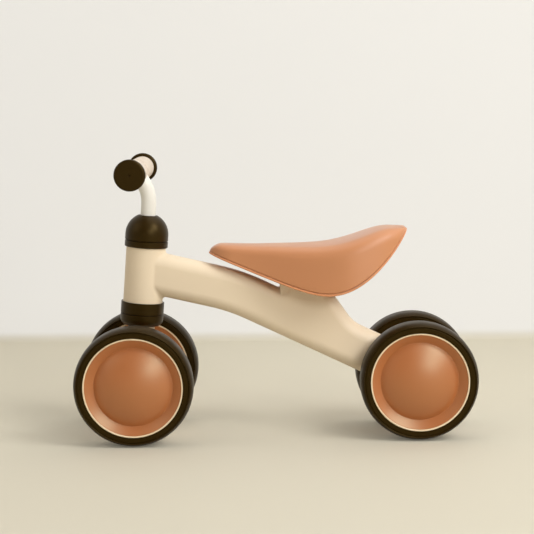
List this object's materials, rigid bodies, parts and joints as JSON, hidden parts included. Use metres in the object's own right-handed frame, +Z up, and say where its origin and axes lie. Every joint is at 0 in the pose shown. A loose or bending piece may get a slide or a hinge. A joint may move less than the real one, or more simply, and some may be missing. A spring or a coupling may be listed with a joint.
{
  "type": "toddler balance bike",
  "caption": "Toddler ride-on balance bike: a curved one-piece beam frame with a padded saddle, a steered fork with handlebar grips, and small wide foam wheels in pairs.",
  "frame": {"origin": "on the floor, midway between the axles, on the middle plane", "axes": "+X forward, +Y to the rider's left, +Z up"},
  "size_m": [0.5036, 0.212, 0.3546],
  "materials": {
    "beam_plastic": "satin cream moulding",
    "saddle_skin": "smooth tan skin with a satin sheen",
    "steel": "zinc-plated steel",
    "bush_nylon": "off-white nylon",
    "dark_plastic": "satin dark brown",
    "stem_paint": "off-white powder coat",
    "grip_rubber": "soft cream rubber",
    "tyre_foam": "fine-grained dark foam",
    "rim_plastic": "cream",
    "dish_plastic": "terracotta with a soft gloss"
  },
  "bodies": {
    "frame": {"frame": "beam_plastic", "seat_pan": "saddle_skin", "seat_cushion": "saddle_skin", "seat_bolts": "steel", "upper_head_bush": "bush_nylon", "lower_head_bush": "bush_nylon", "upper_head_band": "dark_plastic", "lower_head_band": "dark_plastic", "rear_axle": "steel", "rear_axle_spacers": "bush_nylon", "rear_axle_washers": "steel", "rear_axle_nuts": "steel"},
    "steering": {"lower_cup": "dark_plastic", "fork": "beam_plastic", "steerer_tube": "steel", "dome_cap": "dark_plastic", "handlebar": "stem_paint", "stem_bolt": "steel", "stem_nut": "steel", "left_grip": "grip_rubber", "right_grip": "grip_rubber", "left_bar_cap": "dark_plastic", "right_bar_cap": "dark_plastic", "front_axle": "steel", "front_axle_spacers": "bush_nylon", "front_axle_washers": "steel", "front_axle_nuts": "steel"},
    "front_left": {"front_left_tyre": "tyre_foam", "front_left_rim": "rim_plastic", "front_left_outer_dish": "dish_plastic", "front_left_inner_dish": "dish_plastic", "front_left_hub_bushes": "bush_nylon"},
    "front_right": {"front_right_tyre": "tyre_foam", "front_right_rim": "rim_plastic", "front_right_outer_dish": "dish_plastic", "front_right_inner_dish": "dish_plastic", "front_right_hub_bushes": "bush_nylon"},
    "rear_left": {"rear_left_tyre": "tyre_foam", "rear_left_rim": "rim_plastic", "rear_left_outer_dish": "dish_plastic", "rear_left_inner_dish": "dish_plastic", "rear_left_hub_bushes": "bush_nylon"},
    "rear_right": {"rear_right_tyre": "tyre_foam", "rear_right_rim": "rim_plastic", "rear_right_outer_dish": "dish_plastic", "rear_right_inner_dish": "dish_plastic", "rear_right_hub_bushes": "bush_nylon"}
  },
  "joints": [
    {"name": "steering_turn", "type": "hinge", "parent": "frame", "child": "steering", "pos_m": [0.1776, 0, 0.0742], "axis": [-0.075, 0, 0.9972], "range_deg": [-67.5, 67.5]},
    {"name": "front_left_spin", "type": "hinge", "parent": "steering", "child": "front_left", "pos_m": [0.1776, 0.0714, 0.0742], "axis": [0, 1, 0], "continuous": true},
    {"name": "front_right_spin", "type": "hinge", "parent": "steering", "child": "front_right", "pos_m": [0.1776, -0.0714, 0.0742], "axis": [0, 1, 0], "continuous": true},
    {"name": "rear_left_spin", "type": "hinge", "parent": "frame", "child": "rear_left", "pos_m": [-0.1776, 0.046, 0.0742], "axis": [0, 1, 0], "continuous": true},
    {"name": "rear_right_spin", "type": "hinge", "parent": "frame", "child": "rear_right", "pos_m": [-0.1776, -0.046, 0.0742], "axis": [0, 1, 0], "continuous": true}
  ]
}
